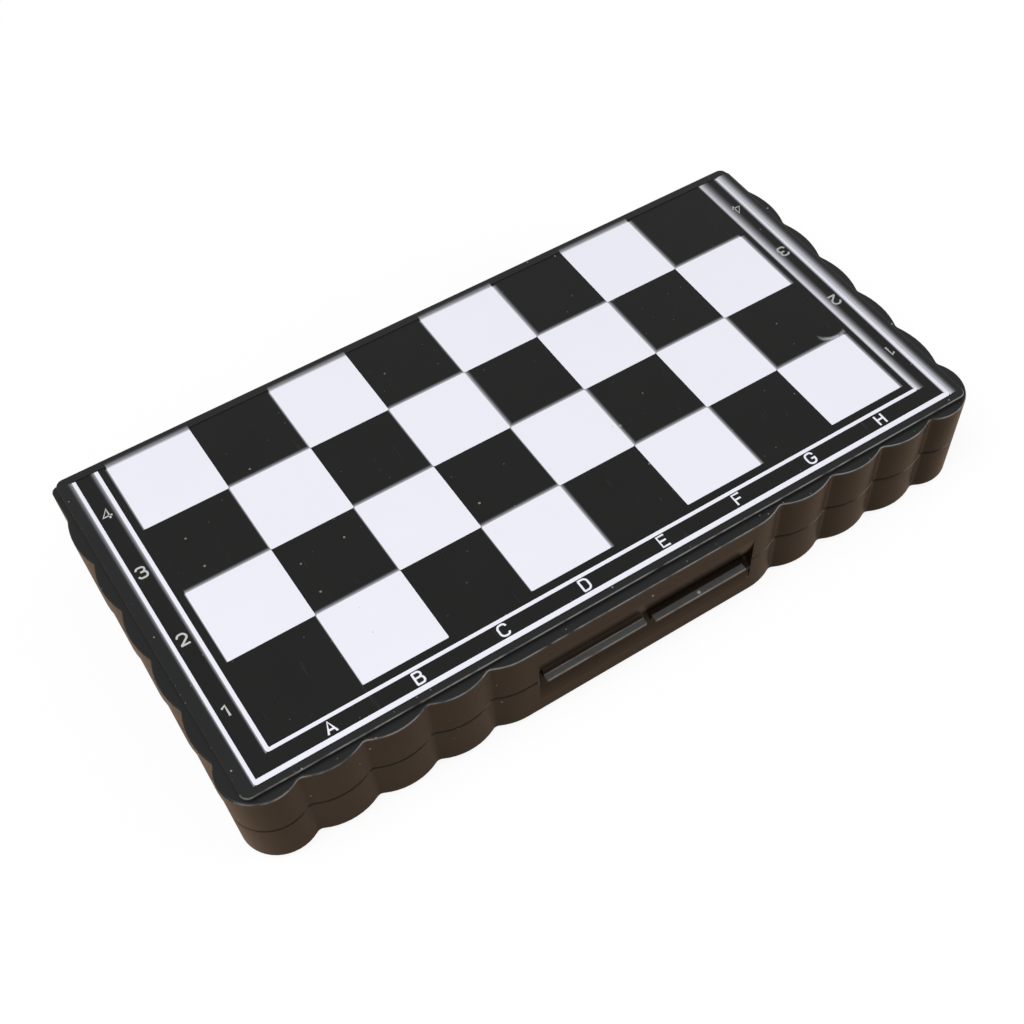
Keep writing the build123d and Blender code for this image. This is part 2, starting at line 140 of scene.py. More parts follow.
class Finish:
    """A material with one Principled shader, and short ways to feed it."""

    def __init__(self, name, **settings):
        self.material = bpy.data.materials.new(name)
        self.material.use_nodes = True
        self.tree = self.material.node_tree
        self.shader = self.tree.nodes["Principled BSDF"]
        self.place = self.tree.nodes.new("ShaderNodeTexCoord").outputs["Object"]
        for socket, value in settings.items():
            self.shader.inputs[socket.replace("_", " ")].default_value = value

    def axes(self):
        split = self.tree.nodes.new("ShaderNodeSeparateXYZ")
        self.tree.links.new(self.place, split.inputs[0])
        return [Field(self.tree, outlet) for outlet in split.outputs]

    def tilt(self):
        """How far a face leans from level: 0 where it faces straight up or down, 1 on a wall."""
        normal = self.tree.nodes.new("ShaderNodeNewGeometry").outputs["Normal"]
        split = self.tree.nodes.new("ShaderNodeSeparateXYZ")
        self.tree.links.new(normal, split.inputs[0])
        return Field(self.tree, split.outputs["Z"]).maths("ABSOLUTE") * -1 + 1

    def stretched(self, scale):
        """The object's coordinates, scaled by axis."""
        node = self.tree.nodes.new("ShaderNodeMapping")
        node.inputs["Scale"].default_value = scale
        self.tree.links.new(self.place, node.inputs["Vector"])
        return node.outputs["Vector"]

    def noise(self, size, detail=2.0, stretch=None):
        """Soft noise whose lumps are about this large."""
        node = self.tree.nodes.new("ShaderNodeTexNoise")
        node.inputs["Scale"].default_value = 1 / size
        node.inputs["Detail"].default_value = detail
        self.tree.links.new(self.stretched(stretch) if stretch else self.place, node.inputs["Vector"])
        return Field(self.tree, node.outputs["Fac"])

    def specks(self, pitch, size, share, dimensions="2D"):
        """Grains of dust: one per cell of this pitch, on this share of the cells. 2D is for level faces."""
        node = self.tree.nodes.new("ShaderNodeTexVoronoi")
        node.voronoi_dimensions = dimensions
        node.inputs["Scale"].default_value = 1 / pitch
        self.tree.links.new(self.place, node.inputs["Vector"])
        near = Field(self.tree, node.outputs["Distance"])
        split = self.tree.nodes.new("ShaderNodeSeparateColor")
        self.tree.links.new(node.outputs["Color"], split.inputs[0])
        chosen = Field(self.tree, split.outputs["Red"]).below(share)
        reach = Field(self.tree, split.outputs["Green"]) * (size / pitch)
        return (reach - near).maths("MULTIPLY", SPECK_SHARPNESS * pitch / size, clamp=True) * chosen

    def dust(self, *sorts):
        """Two sorts of dust together, each a pitch, a size and a share of the cells."""
        coarse, fine = (self.specks(*sort) for sort in sorts)
        return coarse.maths("MAXIMUM", fine)

    def mix(self, amount, first, second):
        """Colour between two, each a colour or the outlet of another mix."""
        node = self.tree.nodes.new("ShaderNodeMix")
        node.data_type = "RGBA"
        self.tree.links.new(amount.socket, node.inputs["Factor"])
        for inlet, colour in (("A", first), ("B", second)):
            target = next(place for place in node.inputs if place.name == inlet and place.type == "RGBA")
            if isinstance(colour, bpy.types.NodeSocket):
                self.tree.links.new(colour, target)
            else:
                target.default_value = (*colour, 1)
        return next(outlet for outlet in node.outputs if outlet.type == "RGBA")

    def feed(self, socket, value):
        """Drive an inlet of the shader with a field, or with the outlet of a mix."""
        outlet = value.socket if isinstance(value, Field) else value
        self.tree.links.new(outlet, self.shader.inputs[socket])

    def bump(self, height, distance):
        node = self.tree.nodes.new("ShaderNodeBump")
        node.inputs["Distance"].default_value = distance
        self.tree.links.new(height.socket, node.inputs["Height"])
        self.tree.links.new(node.outputs["Normal"], self.shader.inputs["Normal"])


print("finish helpers ready")

# %% [markdown]
# The white print was rubbed before it set: on the left, right and back its edges fade outwards,
# most at the back right, while its front edges are crisp. A blurred picture of the board would do
# this, but the board is only lines and squares, so the fade is worked out from distances instead.
# Each part of the pattern gives its strength at its edge, falling to 0 over the width of the smear.
# On the right the ink itself was dragged thin as well, so there the lines start weak on their inner
# edge and grow to full strength at their outer one.

# %% The smear beside the print
INNER_LINE = (1.35 * MM, 1.95 * MM)
OUTER_LINE = (4.65 * MM, 5.5 * MM)
LEFT_TRIM = 0.3 * MM
SMEAR_LEFT = (0.35 * MM, 0.8 * MM)
SMEAR_RIGHT = (1.4 * MM, 1.9 * MM)
SMEAR_END = 1.2 * MM
SMEAR_ROW = 0.8 * MM
LEFT_STRENGTH = 0.45
INNER_STRENGTH = (0.80, 0.62)
OUTER_STRENGTH = (0.93, 0.88)
INNER_RAMP = (0.28 * MM, 0.34 * MM)
OUTER_RAMP = (0.35 * MM, 0.60 * MM)
CORNER_RAMP = 0.08 * MM
SQUARE_SMEAR = 0.5
SQUARE_STRENGTH = 0.6
END_STRENGTH = 0.8
RAMP_SOFTNESS = 0.3
EDGE_OVERLAP = 0.02 * MM
PRINTED_DEPTH = 0.45 * MM


class Rub:
    """How the print was rubbed at each point of a board. Across is -1 on the board underneath."""

    def __init__(self, finish, across):
        x, self.y, self.z = finish.axes()
        self.across = across
        self.x = x * across
        self.x_out = self.x.maths("ABSOLUTE")
        self.right = self.x.above(0.0)
        self.left = self.right * -1 + 1
        from_front = self.y - (board_middle.y - half_depth)
        self.back = (from_front / (2 * half_depth)).maths("ADD", 0.0, clamp=True)
        self.width = self.right * self.along(SMEAR_RIGHT) + self.left * self.along(SMEAR_LEFT)

    def along(self, ends):
        """A value that runs from the first at the front to the second at the back."""
        return self.back * (ends[1] - ends[0]) + ends[0]

    def fade(self, distance, wide):
        falling = (distance / wide * -1 + 1).maths("MAXIMUM", 0.0)
        return falling * falling * distance.above(-EDGE_OVERLAP)

    def beside_line(self, line, strengths):
        reach = self.x_out - (half_length + line[1])
        strength = self.right * self.along(strengths) + self.left * LEFT_STRENGTH
        behind_front = self.y.above(board_middle.y - half_depth - line[1] + EDGE_OVERLAP)
        return self.fade(reach, self.width) * strength * behind_front

    def within_line(self, line, strengths, ramp):
        """Strength of the ink inside a line, and where that line is. Only the right side is dragged
        thin, up to the corner, where the line that runs across takes over at full strength."""
        inside = self.x_out - (half_length + line[0])
        rising = (inside / self.along(ramp)).maths("SMOOTH_MIN", 1.0, RAMP_SOFTNESS).maths("MAXIMUM", 0.0)
        into_corner = self.y * -1 + (board_middle.y - half_depth - line[0])
        whole = (into_corner / CORNER_RAMP).maths("ADD", 0.0, clamp=True)
        here = inside.above(-EDGE_OVERLAP) * inside.below(line[1] - line[0] + EDGE_OVERLAP) * self.right
        return (rising * rising * self.along(strengths)).maths("MAXIMUM", whole) * here, here

    def shade(self):
        """How white the bare surface is where the print was smeared over it."""
        column = (self.x + half_length) / square
        row = (self.y - (board_middle.y - half_depth)) / square
        dark = (column.maths("FLOOR") + row.maths("FLOOR")).is_even()
        on_row = row.above(0.0) * row.below(float(RANKS))
        narrow = self.width * SQUARE_SMEAR
        along = column.maths("FRACT") * square
        left_fade = self.fade(along * -1 + square, narrow)
        outwards = self.right * self.fade(along, narrow) + self.left * left_fade
        backwards = self.fade(row.maths("FRACT") * square, SMEAR_ROW) * row.above(1.0)
        on_squares = dark * on_row * self.x_out.below(half_length - EDGE_OVERLAP)
        inner = on_squares * outwards.maths("MAXIMUM", backwards)
        light_end = (row.maths("FLOOR") + self.left).is_even()
        edge = self.fade(self.x_out - half_length, narrow) * on_row * light_end
        past_end = self.fade(self.y - (board_middle.y + half_depth), SMEAR_END)
        past_end = past_end * self.x_out.below(half_length) * column.maths("FLOOR").is_even()
        total = inner.maths("MAXIMUM", edge) * SQUARE_STRENGTH
        total = total.maths("MAXIMUM", past_end * END_STRENGTH)
        on_film = self.y.below(foil_high.y)
        for line, strengths in ((INNER_LINE, INNER_STRENGTH), (OUTER_LINE, OUTER_STRENGTH)):
            total = total.maths("MAXIMUM", self.beside_line(line, strengths) * on_film)
        face = board_middle.z if self.across > 0 else -under_low.z
        depth = (self.z * self.across * -1 + face).maths("ABSOLUTE")
        return total * depth.below(PRINTED_DEPTH)

    def cover(self):
        """How much ink is left inside the print itself."""
        inner, on_inner = self.within_line(INNER_LINE, INNER_STRENGTH, INNER_RAMP)
        outer, on_outer = self.within_line(OUTER_LINE, OUTER_STRENGTH, OUTER_RAMP)
        return (on_inner + on_outer) * -1 + 1 + inner + outer


print("smear: left", SMEAR_LEFT[1] / MM, "mm at the back, right", SMEAR_RIGHT[1] / MM, "mm")

# %% [markdown]
# The front edges of the case and the edges of its thumb lips are painted pale: a painted highlight
# where their small roundings would catch the light. The edge is found from how far its face leans,
# and from its distance to the outer face of its half. That is the same on the top and the underside,
# so one sum serves both. Noise breaks the painted highlight into patches.

# %% Where the edges get a painted highlight
HIGHLIGHT_DEPTH = 0.3 * MM
FLANGE_HIGHLIGHT_BAND = (0.75 * MM, 1.3 * MM)
EDGE_TILT = (0.04, 0.15)
WALL_TILT = (0.85, 0.65)
HIGHLIGHT_PATCHES = (0.30, 0.55)


def rubbed_edges(finish, y, from_face, on_lip):
    """How much painted highlight the plastic gets: along the front edges and on those of the lips."""
    tilt = finish.tilt()
    on_edge = tilt.span(*EDGE_TILT) * tilt.span(*WALL_TILT)
    on_flange = from_face.above(FLANGE_HIGHLIGHT_BAND[0]) * from_face.below(FLANGE_HIGHLIGHT_BAND[1])
    at_height = from_face.below(HIGHLIGHT_DEPTH).maths("MAXIMUM", on_flange)
    at_front = y.below(board_middle.y - half_depth - OUTER_LINE[1])
    patches = finish.noise(3 * MM, detail=3.0).span(*HIGHLIGHT_PATCHES)
    return on_edge * (at_height * at_front).maths("MAXIMUM", on_lip) * patches


print("rubbed to", round(HIGHLIGHT_DEPTH / MM, 2), "mm under the outer face")

# %% [markdown]
# The case is injection moulded in black plastic with a satin finish, with the faint orange peel of
# the mould. The plastic is the same all over, but its walls are painted browner than its top: a
# painted reflection of the brown floor that they face. Its gloss is what shows its shape, so
# roughness matters more than colour: noise at two scales varies it, and a very shallow bump breaks
# up reflections. Noise stretched along the case draws the fine scratches on its back strip.

# %% Moulded plastic
INK = (0.795, 0.795, 0.87)
DUST = (0.42, 0.41, 0.38)
WALL_END = 1.1 * MM
WALL_START = 1.5 * MM
STRIP_WIDTH = 1.6 * MM
LIP_REACH = 1.15 * MM
LIP_HEIGHT = 0.75 * MM
LIP_HALF_LENGTH = 18.4 * MM
SCRATCH_LEVELS = (0.52, 0.75)
SCRATCH_STRETCH = (0.06, 1.0, 1.0)
TOP_TONES = ((0.0100, 0.0104, 0.0110), (0.0140, 0.0144, 0.0150))
# The walls' brown is a painted reflection of the brown floor; the plastic is the same as on top.
WALL_TONES_WITH_REFLECTION = ((0.0086, 0.0058, 0.0036), (0.0115, 0.0078, 0.0049))
# Pale tone painted on the thumb lips: a painted highlight of the light they catch from the front.
LIP_HIGHLIGHT_TONE = (0.075, 0.075, 0.071)
# Pale tone of the painted highlight on the front edges and the lip edges.
EDGE_HIGHLIGHT_TONE = (0.20, 0.20, 0.205)
SCRATCH_TONE = (0.10, 0.10, 0.10)
EDGE_HIGHLIGHT_STRENGTH = 0.8
SCRATCH_STRENGTH = 0.5
DUST_STRENGTH = 0.6
COARSE_DUST = (4.2 * MM, 0.22 * MM, 0.35)
FINE_DUST = (1.9 * MM, 0.09 * MM, 0.2)
WALL_DUST = (2.8 * MM, 0.42 * MM, 0.7)


def moulded_plastic(name, across):
    finish = Finish(name, IOR=1.49, Specular_IOR_Level=0.2)
    cloud = finish.noise(14 * MM)
    grain = finish.noise(0.35 * MM, detail=3.0)
    x, y, z = finish.axes()
    from_parting = (z - (under_low.z + board_middle.z) / 2).maths("ABSOLUTE")
    from_face = from_parting * -1 + (board_middle.z - under_low.z) / 2
    on_lip = y.below(case_low.y + LIP_REACH) * from_parting.below(LIP_HEIGHT)
    on_lip = on_lip * x.maths("ABSOLUTE").below(LIP_HALF_LENGTH)
    on_wall = from_face.span(WALL_END, WALL_START)
    on_top = on_wall * -1 + 1
    scratches = finish.noise(0.3 * MM, detail=3.0, stretch=SCRATCH_STRETCH).span(*SCRATCH_LEVELS)
    scratches = scratches * y.above(case_high.y - STRIP_WIDTH) * on_top
    # Walls take the browner tones: a painted reflection, not a second plastic.
    wall = finish.mix(cloud, *WALL_TONES_WITH_REFLECTION)
    # The thumb lips get a painted highlight: a paler tone, mixed in with the grain.
    wall = finish.mix(on_lip * (grain * 0.5 + 0.6), wall, LIP_HIGHLIGHT_TONE)
    plastic = finish.mix(on_wall, finish.mix(cloud, *TOP_TONES), wall)
    # Painted highlight: front edges and lip edges are made paler where they would catch the light.
    edge_highlight = rubbed_edges(finish, y, from_face, on_lip) * EDGE_HIGHLIGHT_STRENGTH
    plastic = finish.mix(edge_highlight, plastic, EDGE_HIGHLIGHT_TONE)
    plastic = finish.mix(scratches * SCRATCH_STRENGTH, plastic, SCRATCH_TONE)
    printed = finish.mix(Rub(finish, across).shade(), plastic, INK)
    dust = finish.dust(COARSE_DUST, FINE_DUST) * on_top + finish.specks(*WALL_DUST, "3D") * on_wall
    finish.feed("Base Color", finish.mix(dust * DUST_STRENGTH, printed, DUST))
    finish.feed("Roughness", cloud * 0.10 + grain * 0.10 + 0.24)
    finish.bump(grain, 0.004 * MM)
    return finish.material


upper_plastic = moulded_plastic("satin_black_plastic_top", 1.0)
lower_plastic = moulded_plastic("satin_black_plastic_under", -1.0)
print("plastic:", upper_plastic.name, lower_plastic.name)

# %% [markdown]
# The dark squares are a thin black film pressed into the top of the moulding. It is flatter than the
# plastic, and shows dust, a few hairs and one curved scuff near the right hand edge. The scuff could
# be painted, but a ring cut down to a short arc is cheap, and exactly where it is wanted.

# %% Black film
SCUFF_CENTRE = (53.72 * MM, -7.22 * MM)
SCUFF_RADIUS = 3.57 * MM
SCUFF_WIDTH = 0.50 * MM
SCUFF_MIDDLE = 53.15 * MM
SCUFF_HALF_SPAN = 2.3 * MM
SCUFF_STRENGTH = 0.8
SCUFF_GRAIN = 1.4
FILM_TONES = ((0.0060, 0.0061, 0.0058), (0.0084, 0.0085, 0.0081))
FILM_COARSE_DUST = (6.5 * MM, 0.24 * MM, 0.4)
FILM_FINE_DUST = (2.6 * MM, 0.08 * MM, 0.25)
HAIR_STRETCH = (1.0, 0.12, 1.0)
HAIR_LEVELS = (0.70, 0.82)
FILM_DUST_STRENGTH = 0.45
HAIR_STRENGTH = 0.03


def scuff(finish):
    """A pale curved rub mark on the film."""
    x, y, _ = finish.axes()
    off_x = x - SCUFF_CENTRE[0]
    off_y = y - SCUFF_CENTRE[1]
    reach = (off_x * off_x + off_y * off_y).maths("SQRT")
    ring = ((reach - SCUFF_RADIUS).maths("ABSOLUTE") / SCUFF_WIDTH * -1 + 1).maths("MAXIMUM", 0.0)
    part = ((x - SCUFF_MIDDLE).maths("ABSOLUTE") / SCUFF_HALF_SPAN * -1 + 1).maths("MAXIMUM", 0.0)
    return ring * part.maths("SQRT") * off_y.below(0.0) * (finish.noise(0.5 * MM) * SCUFF_GRAIN)


def printed_film(name, across, scuffed):
    finish = Finish(name, IOR=1.5, Specular_IOR_Level=0.17)
    cloud = finish.noise(9 * MM)
    grain = finish.noise(0.5 * MM)
    film = finish.mix(cloud, *FILM_TONES)
    marks = Rub(finish, across).shade()
    if scuffed:
        marks = marks.maths("MAXIMUM", scuff(finish) * SCUFF_STRENGTH)
    hairs = finish.noise(0.8 * MM, stretch=HAIR_STRETCH).span(*HAIR_LEVELS)
    dust = finish.dust(FILM_COARSE_DUST, FILM_FINE_DUST) * FILM_DUST_STRENGTH + hairs * HAIR_STRENGTH
    finish.feed("Base Color", finish.mix(dust, finish.mix(marks, film, INK), DUST))
    finish.feed("Roughness", cloud * 0.08 + grain * 0.06 + 0.30)
    finish.bump(grain, 0.003 * MM)
    return finish.material


upper_film = printed_film("black_film_top", 1.0, True)
lower_film = printed_film("black_film_under", -1.0, False)
print("films:", upper_film.name, lower_film.name)

# %% [markdown]
# The ink is plain and white. It could be one flat colour, but where the rubbing dragged it thin, the
# film has to show through, so its colour runs to the film's as its cover gets less. Only the numbers
# got less ink from the start, and least on the right, where they were rubbed.

# %% White and faded ink
INK_VARIES = 0.97
INK_DUST = (6 * MM, 0.12 * MM, 0.18)
INK_DUST_TONE = (0.3, 0.3, 0.3)


def ink(name, colour, across, lost_right=0.0):
    """Ink, of which this share was rubbed away on the right."""
    finish = Finish(name, IOR=1.45, Specular_IOR_Level=0.35)
    rub = Rub(finish, across)
    cloud = finish.noise(11 * MM)
    shade = tuple(INK_VARIES * part for part in colour)
    whole = finish.mix(finish.specks(*INK_DUST) * 0.5, finish.mix(cloud, shade, colour), INK_DUST_TONE)
    left_over = rub.cover() * (rub.right * -lost_right + 1)
    finish.feed("Base Color", finish.mix(left_over, FILM_TONES[1], whole))
    finish.feed("Roughness", cloud * 0.08 + 0.38)
    return finish.material


upper_ink = ink("white_ink_top", INK, 1.0)
lower_ink = ink("white_ink_under", INK, -1.0)
number_ink = ink("number_ink", (0.50, 0.51, 0.50), 1.0, lost_right=0.25)
faded_ink = ink("faded_ink", (0.10, 0.10, 0.11), 1.0)
print("inks:", [kind.name for kind in (upper_ink, lower_ink, number_ink, faded_ink)])

# %% [markdown]
# Everything printed is a stroke of even width, a filled outline or a square, so three small Geometry
# Nodes trees make it all. The first turns strokes into flat ribbons: a mesh of edges becomes curves,
# each corner is rounded by the radius stored on its point, and a flat rectangle is swept along. It
# makes the letters and numbers. A font would be quicker, but print of this kind is drawn with one
# stroke width, and strokes copy that. The second tree fills closed outlines instead, for the two
# lines round the board, because these are thinner on one side. This cell holds what the trees share.


# %% Helpers for trees
def new_tree(name, **sizes):
    """Geometry tree with a mesh inlet, a material and number inlets. Gives the tree and its inlets."""
    tree = bpy.data.node_groups.new(name, "GeometryNodeTree")
    tree.interface.new_socket("Geometry", in_out="INPUT", socket_type="NodeSocketGeometry")
    tree.interface.new_socket("Geometry", in_out="OUTPUT", socket_type="NodeSocketGeometry")
    tree.interface.new_socket("Material", in_out="INPUT", socket_type="NodeSocketMaterial")
    for label, value in sizes.items():
        inlet = tree.interface.new_socket(label, in_out="INPUT", socket_type="NodeSocketFloat")
        inlet.default_value = value
    return tree, tree.nodes.new("NodeGroupInput").outputs


def add(tree, kind, links=None, **settings):
    """Node with its properties set and its inlets filled, from a socket or with a plain value."""
    node = tree.nodes.new(kind)
    for prop, value in settings.items():
        setattr(node, prop, value)
    for inlet, value in (links or {}).items():
        if isinstance(value, bpy.types.NodeSocket):
            tree.links.new(value, node.inputs[inlet])
        else:
            node.inputs[inlet].default_value = value
    return node


def close_tree(tree, geometry, material):
    """The ending of every tree: real geometry, smooth off, its material and the output."""
    real = add(tree, "GeometryNodeRealizeInstances", {"Geometry": geometry})
    flat = add(tree, "GeometryNodeSetShadeSmooth", {"Geometry": real.outputs[0], "Shade Smooth": False})
    dressed = add(tree, "GeometryNodeSetMaterial", {"Geometry": flat.outputs[0], "Material": material})
    add(tree, "NodeGroupOutput", {"Geometry": dressed.outputs[0]})


def rounded(tree, curve, radius, steps):
    """Outlet of the curve with its corners rounded."""
    links = {"Curve": curve, "Radius": radius, "Limit Radius": True}
    node = add(tree, "GeometryNodeFilletCurve", links, mode="POLY")
    node.inputs["Count"].default_value = steps
    return node.outputs[0]


def stored_corners(tree, geometry, steps):
    """Curves from a mesh of edges, each corner rounded by the radius stored on its point."""
    curves = add(tree, "GeometryNodeMeshToCurve", {"Mesh": geometry})
    radius = add(tree, "GeometryNodeInputNamedAttribute", {"Name": "round"}, data_type="FLOAT")
    return rounded(tree, curves.outputs[0], radius.outputs["Attribute"], steps)


def rectangle(tree, width, height):
    links = {"Width": width, "Height": height}
    return add(tree, "GeometryNodeCurvePrimitiveQuadrilateral", links, mode="RECTANGLE").outputs[0]


def thickened(tree, flat, thickness):
    """Flat faces with a bottom and sides, from nothing up to this thickness."""
    offset = add(tree, "ShaderNodeCombineXYZ", {"Z": thickness})
    links = {"Mesh": flat, "Offset": offset.outputs[0], "Offset Scale": 1.0, "Individual": False}
    raised = add(tree, "GeometryNodeExtrudeMesh", links)
    bottom = add(tree, "GeometryNodeFlipFaces", {"Mesh": flat})
    both = add(tree, "GeometryNodeJoinGeometry")
    tree.links.new(raised.outputs[0], both.inputs[0])
    tree.links.new(bottom.outputs[0], both.inputs[0])
    return both.outputs[0]


print("tree helpers ready")

# %% [markdown]
# Real ink is a few hundredths of a millimetre thick. Giving it that thickness, and not only a
# colour, lets it catch the light at its edges. The two trees differ only in how they get from
# curves to faces: one sweeps a ribbon along, the other fills the outline and raises it.

# %% Trees for strokes and outlines
PRINT_THICK = 0.05 * MM
STROKE_CORNER_STEPS = 5
PATCH_CORNER_STEPS = 4


def stroke_tree():
    """A flat ribbon along every stroke, for letters and numbers."""
    tree, given = new_tree("printed_strokes", Width=0.4 * MM, Thickness=PRINT_THICK)
    curves = stored_corners(tree, given["Geometry"], STROKE_CORNER_STEPS)
    upright = add(tree, "GeometryNodeSetCurveNormal", {"Curve": curves}, mode="Z_UP")
    ribbon = rectangle(tree, given["Width"], given["Thickness"])
    links = {"Curve": upright.outputs[0], "Profile Curve": ribbon, "Fill Caps": True}
    close_tree(tree, add(tree, "GeometryNodeCurveToMesh", links).outputs[0], given["Material"])
    return tree


def patch_tree():
    """A filled patch in every closed outline, for the lines round the board."""
    tree, given = new_tree("printed_patches", Thickness=PRINT_THICK)
    outline = stored_corners(tree, given["Geometry"], PATCH_CORNER_STEPS)
    filled = add(tree, "GeometryNodeFillCurve", {"Curve": outline}, mode="NGONS")
    close_tree(tree, thickened(tree, filled.outputs[0], given["Thickness"]), given["Material"])
    return tree


STROKES = stroke_tree()
PATCHES = patch_tree()
print("stroke tree:", len(STROKES.nodes), "nodes, outline tree:", len(PATCHES.nodes), "nodes")

# %% [markdown]
# A tree only works while it hangs on an object as a modifier. What is kept here is its result: the
# modifier's inputs are set, the evaluated object is turned into a plain mesh, and the object that
# carried the modifier goes. A plain mesh looks the same in every program that reads it later.


# %% From a tree to a plain mesh
def new_object(name, data):
    """Object in the scene, at the origin."""
    thing = bpy.data.objects.new(name, data)
    bpy.context.scene.collection.objects.link(thing)
    return thing


def plain_mesh(thing):
    """Mesh of an object with its modifiers applied. The object itself is removed."""
    mesh = bpy.data.meshes.new_from_object(thing.evaluated_get(bpy.context.evaluated_depsgraph_get()))
    bpy.data.objects.remove(thing)
    return mesh


def grown(name, base, tree, material, **sizes):
    """Object made by running a tree on a base mesh, kept as a plain mesh with nothing live on it."""
    thing = new_object(name + "_base", base)
    modifier = thing.modifiers.new("grow", "NODES")
    modifier.node_group = tree
    for item in tree.interface.items_tree:
        if item.in_out == "INPUT" and item.name in sizes:
            modifier[item.identifier] = sizes[item.name]
        if item.in_out == "INPUT" and item.name == "Material":
            modifier[item.identifier] = material
    mesh = plain_mesh(thing)
    mesh.name = name
    return new_object(name, mesh)


print("modifier inputs:", [item.name for item in STROKES.interface.items_tree])

# %% [markdown]
# Letters and numbers are drawn on a grid one unit wide and nearly one and a half high. A stroke is
# a list of points, and a point may carry a third number, the radius that rounds its corner. That is
# all a C or a 3 needs.

# %% Letters and numbers as strokes
TALL = 1.45
HALF = 0.78
BIG = 0.46
SMALL = 0.34
TIGHT = 0.3
GLYPHS = {
    "A": [[(0, 0), (0.5, TALL), (1, 0)], [(0.17, 0.45), (0.83, 0.45)]],
    "B": [
        [(0.06, 0), (0.06, TALL)],
        [(0, TALL), (0.92, TALL, SMALL), (0.92, HALF, SMALL), (0, HALF)],
        [(0, HALF), (1, HALF, SMALL), (1, 0, SMALL), (0, 0)],
    ],
    "C": [[(1, 1.1), (1, TALL, BIG), (0, TALL, BIG), (0, 0, BIG), (1, 0, BIG), (1, 0.35)]],
    "D": [[(0.06, 0), (0.06, TALL)], [(0, TALL), (1, TALL, BIG), (1, 0, BIG), (0, 0)]],
    "E": [[(1, TALL), (0.06, TALL), (0.06, 0), (1, 0)], [(0.06, HALF), (0.9, HALF)]],
    "F": [[(1, TALL), (0.06, TALL), (0.06, 0)], [(0.06, HALF), (0.86, HALF)]],
    "G": [
        [(1, 1.1), (1, TALL, BIG), (0, TALL, BIG), (0, 0, BIG), (1, 0, BIG), (1, 0.6)],
        [(0.55, 0.66), (1.12, 0.66)],
    ],
    "H": [[(0.05, 0), (0.05, TALL)], [(0.95, 0), (0.95, TALL)], [(0.05, HALF), (0.95, HALF)]],
    "1": [[(0.15, 1.1), (0.6, 1.38), (0.6, 0)]],
    "2": [[(0, 1.05), (0, TALL, BIG), (1, TALL, BIG), (1, 0.8, TIGHT), (0.05, 0)], [(0, 0), (1.05, 0)]],
    "3": [
        [(0, 1.15), (0, TALL, SMALL), (0.94, TALL, SMALL), (0.94, HALF, SMALL), (0.35, HALF)],
        [(0.35, HALF), (1, HALF, SMALL), (1, 0, SMALL), (0, 0, SMALL), (0, 0.32)],
    ],
    "4": [[(0.74, 0), (0.74, TALL), (0, 0.4), (1.08, 0.4)]],
    "5": [
        [(0.95, TALL), (0.14, TALL), (0.05, 0.72)],
        [(0.05, 0.72), (0.2, 0.94, 0.1), (1, 0.94, BIG), (1, 0, BIG), (0, 0, BIG), (0, 0.35)],
    ],
    "6": [
        [(0.95, 1.12), (0.95, TALL, SMALL), (0, TALL, BIG), (0, 0, BIG), (1, 0, BIG), (1, 0.88, BIG),
         (0.03, 0.88, 0.2), (0.03, 0.5)],
    ],
    "7": [[(0, TALL), (1, TALL), (0.35, 0)]],
    "8": [
        [(0.5, HALF), (0.06, HALF, TIGHT), (0.06, TALL, TIGHT), (0.94, TALL, TIGHT), (0.94, HALF, TIGHT),
         (0.5, HALF)],
        [(0.5, HALF), (0, HALF, TIGHT), (0, 0, SMALL), (1, 0, SMALL), (1, HALF, TIGHT), (0.5, HALF)],
    ],
}
print(len(GLYPHS), "letters and numbers")

# %% [markdown]
# Both trees read a mesh of bare edges with a radius stored on each of its points. So a letter is
# scaled, turned and moved to its place as a list of points, and only then do all the letters of a
# board become one mesh. A tiny step in height from stroke to stroke keeps crossing strokes apart.

# %% From strokes to a mesh of edges
STROKE_STEP = 0.002 * MM


def stroke_mesh(name, strokes):
    """Mesh of edges for both trees, from strokes of (point, radius) pairs."""
    points = []
    edges = []
    radii = []
    for stroke in strokes:
        start = len(points)
        points += [point for point, _ in stroke]
        radii += [radius for _, radius in stroke]
        edges += [(start + k, start + k + 1) for k in range(len(stroke) - 1)]
    mesh = bpy.data.meshes.new(name)
    mesh.from_pydata(points, edges, [])
    mesh.attributes.new("round", "FLOAT", "POINT").data.foreach_set("value", radii)
    return mesh


def glyph_strokes(text, middle, height, turn):
    """Strokes of one letter or number, centred on a point and turned about +Z by degrees."""
    unit = height / TALL
    place = Matrix.Translation(middle) @ Matrix.Rotation(math.radians(turn), 4, "Z")
    centre = Vector((0.5, TALL / 2, 0))
    strokes = []
    for index, stroke in enumerate(GLYPHS[text]):
        made = []
        for x, y, *radius in stroke:
            point = (Vector((x, y, 0)) - centre) * unit + Vector((0, 0, index * STROKE_STEP))
            made.append((place @ point, (radius or [0])[0] * unit))
        strokes.append(made)
    return strokes


print("an E has", len(glyph_strokes("E", Vector(), 1.0, 0)), "strokes")

# %% [markdown]
# The squares are one shape, repeated by a rule, so the third tree makes them: a grid of points,
# thinned to every other one, each holding a square with slightly rounded corners. Where two light
# squares meet at a corner, the rounding leaves the thin dark bridge that real print has.


